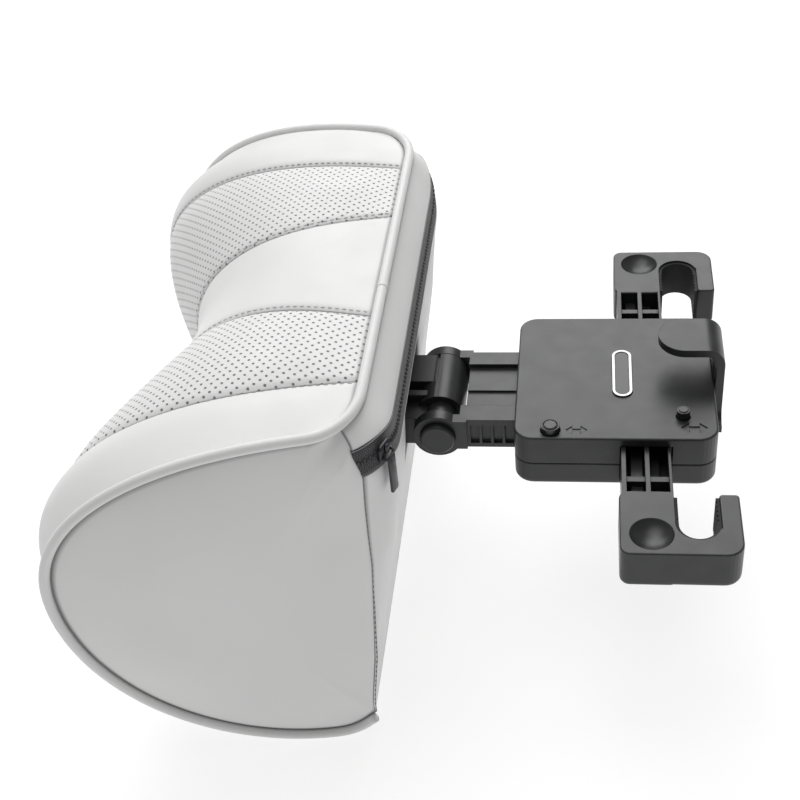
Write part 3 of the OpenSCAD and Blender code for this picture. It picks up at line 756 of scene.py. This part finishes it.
def make_cap(side):
    """Padded end cap, crowned in the middle and drawn in along its edge."""
    outline, sewn = cap_outline()
    edge = outline[:, 1:]
    reach = np.linalg.norm(edge - CAP_CENTRE, axis=1)
    outer = [1 - inset / reach for inset in CAP_INSETS]
    inner = [outer[-1] * share for share in np.linspace(1, 0.03, CAP_RINGS)[1:]]
    rings = np.array(outer + inner)
    flat = CAP_CENTRE + (edge - CAP_CENTRE)[None] * rings[..., None]
    inward = (1 - rings) * reach[None]
    lift = CAP_CROWN * (1 - rings ** 3.2) + dip(inward, 1.2, 2.4)
    lift += CAP_WAVE * np.sin(flat[..., 0] / 15 + 1) * np.sin(flat[..., 1] / 21) * ease(inward / CAP_FADE)
    tucked = (outline[:, 0] - half_width(edge[:, 0]))[None] * np.exp(-((inward / CAP_TUCK) ** 2))
    x = half_width(flat[..., 0]) + lift + tucked
    points = np.stack([side * x, flat[..., 0], flat[..., 1]], 2)
    count = len(outline)
    faces = []
    for r in range(len(rings) - 1):
        for c in range(count):
            d = (c + 1) % count
            quad = (r * count + c, (r + 1) * count + c, (r + 1) * count + d, r * count + d)
            faces.append(quad if side < 0 else quad[::-1])
    last = (len(rings) - 1) * count
    hub = tuple(last + c for c in range(count))
    faces.append(hub[::-1] if side < 0 else hub)
    piece = mesh_piece("cap_near" if side > 0 else "cap_far", points, faces, cap_leather)
    # Painted shadow beside the piping, and painted shade along the seam to the back
    shade = 0.8 * cord_shade(inward)
    shade[:, ROWS:ROWS + sewn] = 0.85 * sewn_shade(inward[:, ROWS:ROWS + sewn])
    attribute = piece.data.attributes.new("seam", "FLOAT", "POINT")
    attribute.data.foreach_set("value", shade.astype(np.float32).ravel())
    return thicken(piece, 1.2), points[:, ROWS:ROWS + sewn]


cap_near, cap_near_points = make_cap(1)
cap_far, cap_far_points = make_cap(-1)

# ---------- foam ----------

FOAM_CLEARANCE = 3.4     # between the foam and the top corners of its cover


def make_foam():
    """The foam core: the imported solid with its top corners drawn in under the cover's."""
    piece = bpy.data.objects.new("foam_core", frame["nodes"]["pillow_foam"].data.copy())
    bpy.context.scene.collection.objects.link(piece)
    for vertex in piece.data.vertices:
        x, y, z = vertex.co / MM
        s = min(1, max(-1, x / half_width(y)))
        rise = (z - ZIP_HIGH) / (TOP_Z - ZIP_HIGH)
        if abs(s) > BACK_TURN_START and rise > 0:
            behind = back_y(s, ZIP_HIGH) * (1 - rise) + top_seam_y(s) * rise
            vertex.co.y = min(y, behind - FOAM_CLEARANCE) * MM
    return piece


foam = make_foam()

# ---------- piping, stitches and zip ----------


def resample(line, pitch):
    """Evenly spaced points on a line."""
    line = np.asarray(line, float)
    along = np.concatenate([[0], np.cumsum(np.linalg.norm(np.diff(line, axis=0), axis=1))])
    at = np.arange(pitch / 2, along[-1], pitch)
    return np.stack([np.interp(at, along, line[:, k]) for k in range(3)], 1)


def directions(line):
    d = np.gradient(line, axis=0)
    return d / np.maximum(np.linalg.norm(d, axis=1, keepdims=True), 1e-9)


def tube(name, line, radius, material, sides=14):
    """A round tube along a line, with closed ends."""
    line = np.asarray(line, float)
    d = directions(line)
    up = np.array([0.0, 0.0, 1.0])
    first = np.cross(d[0], up)
    if np.linalg.norm(first) < 1e-3:
        first = np.cross(d[0], [1.0, 0.0, 0.0])
    normal = first / np.linalg.norm(first)
    vertices = []
    for p, t in zip(line, d):
        normal = normal - t * (normal @ t)
        normal /= np.linalg.norm(normal)
        other = np.cross(t, normal)
        for k in range(sides):
            a = 2 * math.pi * k / sides
            vertices.append(p + radius * (math.cos(a) * normal + math.sin(a) * other))
    faces = []
    for r in range(len(line) - 1):
        for k in range(sides):
            n = (k + 1) % sides
            faces.append((r * sides + k, r * sides + n, (r + 1) * sides + n, (r + 1) * sides + k))
    faces.append(tuple(range(sides))[::-1])
    faces.append(tuple((len(line) - 1) * sides + k for k in range(sides)))
    return mesh_piece(name, vertices, faces, material)


CORD_BESIDE, CORD_OUT, CORD_ABOVE = 0.6, 0.7, 0.5   # the cord's middle, from the seam that it covers
JOINT_X = 19.0           # where the cord's two ends meet
JOINT_STANDS = 0.22
MIRROR_X = np.array([-1, 1, 1])


def piping_line():
    """The cord's route: up one cap's edge, along the top seam, and down the other's."""
    edge = section_points[-1][::-1]
    near = np.stack([half_width(edge[:, 0]) + CORD_BESIDE, edge[:, 0], edge[:, 1]], 1)
    centre = np.array([half_width(CAP_CENTRE[0]), *CAP_CENTRE])
    away = near - centre
    away[:, 0] = 0
    near = near + away / np.linalg.norm(away, axis=1, keepdims=True) * CORD_OUT
    s = np.sin(np.radians(np.linspace(90, -90, 181)))[1:-1]
    y = top_seam_y(s)
    top = np.stack([s * half_width(y), y + CORD_OUT, np.full(len(s), TOP_Z + CORD_ABOVE)], 1)
    far = near[::-1] * MIRROR_X
    return resample(np.concatenate([near, top, far]), 2.4)


def smooth_line(line, passes):
    for _ in range(passes):
        line[1:-1] = (line[:-2] + 2 * line[1:-1] + line[2:]) / 4
    return line


route = smooth_line(piping_line(), 3)
piping = tube("piping_cord", route, PIPING_RADIUS, cap_leather)
joint_place = np.array([JOINT_X, SEAM_Y + CORD_OUT, TOP_Z + CORD_ABOVE])
joint_at = int(np.argmin(np.linalg.norm(route - joint_place, axis=1)))
joint_line = resample(route[joint_at - 1:joint_at + 2], 0.4)[3:-3]
joint = tube("piping_joint", joint_line, PIPING_RADIUS + JOINT_STANDS, cap_leather)


def stitches(name, lines, material, pitch=3.0, length=2.0, width=0.28, height=0.22):
    """Rows of sewn stitches: each a short rounded thread lying on the leather."""
    vertices, faces = [], []
    for line, normal in lines:
        places = resample(line, pitch)
        along = directions(places)
        lines_normal = np.array([normal[np.argmin(np.linalg.norm(line - p, axis=1))] for p in places])
        for p, d, n in zip(places, along, lines_normal):
            side = np.cross(d, n)
            side /= max(np.linalg.norm(side), 1e-9)
            start = len(vertices)
            vertices.append(p - d * length / 2 - n * 0.15)
            for t in (-0.32, 0.32):
                middle = p + d * length * t + n * 0.05
                for a in (0, 60, 120, 180, 240, 300):
                    turn = math.radians(a)
                    vertices.append(middle + side * width * math.cos(turn) + n * height * math.sin(turn))
            vertices.append(p + d * length / 2 - n * 0.15)
            for k in range(6):
                j = (k + 1) % 6
                faces.append((start, start + 1 + j, start + 1 + k))
                faces.append((start + 1 + k, start + 1 + j, start + 7 + j, start + 7 + k))
                faces.append((start + 13, start + 7 + k, start + 7 + j))
    return mesh_piece(name, vertices, faces, material)


def line_beside(points, offset, from_right=False):
    """A line on a grid at a distance from its first or last column, and the normals there."""
    grid = points[:, ::-1] if from_right else points
    normals = normals_of(points)
    normals = normals[:, ::-1] if from_right else normals
    line, up = [], []
    for row, row_normals in zip(grid, normals):
        along = np.concatenate([[0], np.cumsum(np.linalg.norm(np.diff(row, axis=0), axis=1))])
        line.append([np.interp(offset, along, row[:, k]) for k in range(3)])
        up.append([np.interp(offset, along, row_normals[:, k]) for k in range(3)])
    return np.array(line), np.array(up)


def mirrored(line, up):
    return line * MIRROR_X, up * MIRROR_X


near_inner = line_beside(face_grids["near_band"], 1.9)
centre_inner = line_beside(face_grids["middle"], 1.9, from_right=True)
near_outer = line_beside(face_grids["near_end"], 1.7)
inner_lines = [near_inner, centre_inner, mirrored(*near_inner), mirrored(*centre_inner)]
outer_lines = [near_outer, mirrored(*near_outer)]


def row_line(points, row):
    return points[row], facing_back(points)[row]


STITCH_RING = 1          # the cap's ring under its stitches


def cap_line(points, side):
    """A line on the cap beside its back seam."""
    line = points[STITCH_RING]
    up = np.tile(np.array([side * 0.97, 0.2, 0.0]), (len(line), 1))
    return line, up


gusset_line = row_line(gusset_points, 3)
cap_back_lines = [cap_line(cap_near_points, 1), cap_line(cap_far_points, -1)]
inner_stitches = stitches("stitches_inner_seams", inner_lines, light_thread)
outer_stitches = stitches("stitches_outer_seams", outer_lines, grey_thread)
gusset_stitches = stitches("stitches_gusset", [gusset_line], grey_thread)
cap_stitches = stitches("stitches_cap_seams", cap_back_lines, dark_thread)


TOOTH_PITCH, TOOTH_SHIFT, TOOTH_STANDS, TOOTH_TAPER = 1.3, 0.45, 0.2, 0.75
TOOTH_HALF = (0.42, 0.9, 0.35)            # half lengths along the zip, across it and out of it


def zip_teeth():
    """Interlocked nylon teeth along the middle of the tape."""
    middle = tape_points[3:5].mean(axis=0)
    normals = facing_back(tape_points)[3]
    places = resample(middle, TOOTH_PITCH)
    along = directions(places)
    vertices, faces = [], []
    for i, (p, d) in enumerate(zip(places, along)):
        n = normals[np.argmin(np.linalg.norm(middle - p, axis=1))]
        side = np.cross(d, n)
        shift = side * (TOOTH_SHIFT if i % 2 else -TOOTH_SHIFT)
        centre = p + shift + n * TOOTH_STANDS
        start = len(vertices)
        for a in (-1, 1):
            for b in (-1, 1):
                for c in (-1, 1):
                    slim = TOOTH_TAPER if c > 0 else 1.0
                    corner = d * TOOTH_HALF[0] * a * slim + side * TOOTH_HALF[1] * b * slim
                    vertices.append(centre + corner + n * TOOTH_HALF[2] * c)
        quads = ((0, 1, 3, 2), (4, 6, 7, 5), (0, 4, 5, 1), (2, 3, 7, 6), (0, 2, 6, 4), (1, 5, 7, 3))
        faces += [tuple(start + k for k in quad) for quad in quads]
    return mesh_piece("zip_teeth", vertices, faces, zip_nylon, smooth=False)


teeth = zip_teeth()

# ---------- zip slider ----------

tab_joint = next(j for j in frame["joints"] if j["name"] == "zip_tab_swing")
TAB_AXIS_OUT, TAB_AXIS_DOWN = 3.6, 2.7    # the pull tab's axis, from the slider's middle
tab_along = Vector(tab_joint["axis"])
SLIDER_TURN = Matrix.Rotation(math.atan2(tab_along.y, tab_along.x), 3, "Z")
SLIDER_PLACE = Vector(tab_joint["pos_m"]) / MM - SLIDER_TURN @ Vector((0, TAB_AXIS_OUT, -TAB_AXIS_DOWN))


def at_slider(points):
    return [tuple(SLIDER_TURN @ Vector(p) + SLIDER_PLACE) for p in points]


def rounded_outline(width, low, high, radius, steps=6):
    """A rounded rectangle in x and z, centred on x = 0."""
    outline = []
    for cx, cz, start in (
        (width / 2 - radius, high - radius, 0),
        (-width / 2 + radius, high - radius, 90),
        (-width / 2 + radius, low + radius, 180),
        (width / 2 - radius, low + radius, 270),
    ):
        for k in range(steps + 1):
            a = math.radians(start + 90 * k / steps)
            outline.append((cx + radius * math.cos(a), cz + radius * math.sin(a)))
    return outline


def plate(name, outline, y_low, y_high, material, bevel):
    """A flat plate in the slider's frame, with softened edges."""
    count = len(outline)
    points = [(x, y_low, z) for x, z in outline] + [(x, y_high, z) for x, z in outline]
    faces = [tuple(range(count)), tuple(range(2 * count - 1, count - 1, -1))]
    faces += [(k, count + k, count + (k + 1) % count, (k + 1) % count) for k in range(count)]
    piece = mesh_piece(name, at_slider(points), faces, material)
    modifier = piece.modifiers.new("soft_edges", "BEVEL")
    modifier.width = bevel * MM
    modifier.segments = 2
    modifier.limit_method = "ANGLE"
    return apply_modifiers(piece)


# The slider's plates in its own frame: width, lowest and highest point, and the two faces' distances out
BODY_WIDTH, BODY_LOW, BODY_HIGH, BODY_FACES = 8.4, -3.9, 3.9, (0.2, 1.9)
RIDGE_WIDTH, RIDGE_LOW, RIDGE_HIGH, RIDGE_FACES = 2.6, -0.9, 3.4, (1.7, 2.7)
TAB_WIDTH, TAB_LOW, TAB_HIGH, TAB_FACES = 4.6, -19.0, -1.6, (3.1, 4.1)
BAIL_HALF, BAIL_RISE, BAIL_RADIUS = 3.5, 2.3, 0.55
bail_line = [
    (BAIL_HALF * math.cos(a), 1.3 + BAIL_RISE * math.sin(a) ** 0.6, -1.4 - 0.9 * math.sin(a))
    for a in np.linspace(0.02, math.pi - 0.02, 19)
]
body_outline = rounded_outline(BODY_WIDTH, BODY_LOW, BODY_HIGH, 2.4)
ridge_outline = rounded_outline(RIDGE_WIDTH, RIDGE_LOW, RIDGE_HIGH, 1.0)
tab_outline = rounded_outline(TAB_WIDTH, TAB_LOW, TAB_HIGH, 1.0)
slider_body = plate("slider_body", body_outline, *BODY_FACES, black_metal, 0.5)
slider_ridge = plate("slider_ridge", ridge_outline, *RIDGE_FACES, black_metal, 0.35)
slider_bail = tube("slider_bail", at_slider(bail_line), BAIL_RADIUS, black_metal, 10)
pull_tab = plate("pull_tab", tab_outline, *TAB_FACES, black_metal, 0.25)

# ---------- riding and hiding -------------

PILLOW_PIECES = [
    *face_pieces, gusset, zip_tape, back_panel, cap_near, cap_far, piping, joint, inner_stitches,
    outer_stitches, gusset_stitches, cap_stitches, teeth, slider_body, slider_ridge,
    slider_bail, foam,
]
for piece in PILLOW_PIECES:
    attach(piece, "pillow")
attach(pull_tab, "zip_tab")


def press_spring(button):
    """A copy of a release button's spring, standing on the housing's floor and riding with the housing in place of
    the imported one.
    """
    node, joint_name = button + "_spring", button + "_press"
    piece = bpy.data.objects.new(button + "_coil", frame["nodes"][node].data.copy())
    bpy.context.scene.collection.objects.link(piece)
    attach(piece, "housing")
    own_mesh(piece)
    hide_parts(node)
    return piece


for button_name in ("hook_release", "slide_release"):
    press_spring(button_name)

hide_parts("face_cover")
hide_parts("end_cap_right")
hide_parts("end_cap_left")
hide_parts("back_cover")
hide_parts("gusset_strip")
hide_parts("piping")
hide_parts("zip_tape")
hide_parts("zip_slider")
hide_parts("zip_pull")
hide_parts("pillow_foam")

# ---------- floor and light ----------

WORLD_STRENGTH = 0.28
# Each light's place from the object's middle and its side, in metres, and its power in watts
LIGHTS = {
    "overhead": ((-0.3, -0.35, 2.3), 1.8, 27),
    "far_side": ((-1.9, -0.2, 1.6), 2.0, 42),
}
FLOOR_HALF = 4.0
FLOOR_GAP = 0.0002       # clearance under the lowest piece
FLOOR_GLOW = 0.72


def make_floor():
    mesh = bpy.data.meshes.new("floor")
    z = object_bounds()[0].z - FLOOR_GAP
    corners = [(-1, -1), (1, -1), (1, 1), (-1, 1)]
    mesh.from_pydata([(x * FLOOR_HALF, y * FLOOR_HALF, z) for x, y in corners], [], [(0, 1, 2, 3)])
    floor = bpy.data.objects.new("floor", mesh)
    bpy.context.scene.collection.objects.link(floor)
    paper = Finish("floor_paper", (0.38, 0.38, 0.38), 0.9, specular=0.0)
    paper.set("Emission Color", (1, 1, 1, 1))
    paper.set("Emission Strength", FLOOR_GLOW)
    mesh.materials.append(paper.material)


def area_light(name, place, target, size, power):
    data = bpy.data.lights.new(name, "AREA")
    data.shape = "SQUARE"
    data.size = size
    data.energy = power
    light = bpy.data.objects.new(name, data)
    bpy.context.scene.collection.objects.link(light)
    light.location = place
    light.rotation_euler = (Vector(target) - Vector(place)).to_track_quat("-Z", "Y").to_euler()
    return light


def make_world(strength):
    world = bpy.data.worlds.new("studio")
    world.use_nodes = True
    background = world.node_tree.nodes["Background"]
    background.inputs["Color"].default_value = (1, 1, 1, 1)
    background.inputs["Strength"].default_value = strength
    bpy.context.scene.world = world


make_floor()
middle = (cad_low + cad_high) / 2
make_world(WORLD_STRENGTH)
for name, (offset, size, power) in LIGHTS.items():
    area_light(name, middle + Vector(offset), middle, size, power)
bpy.context.scene.view_settings.view_transform = "Standard"
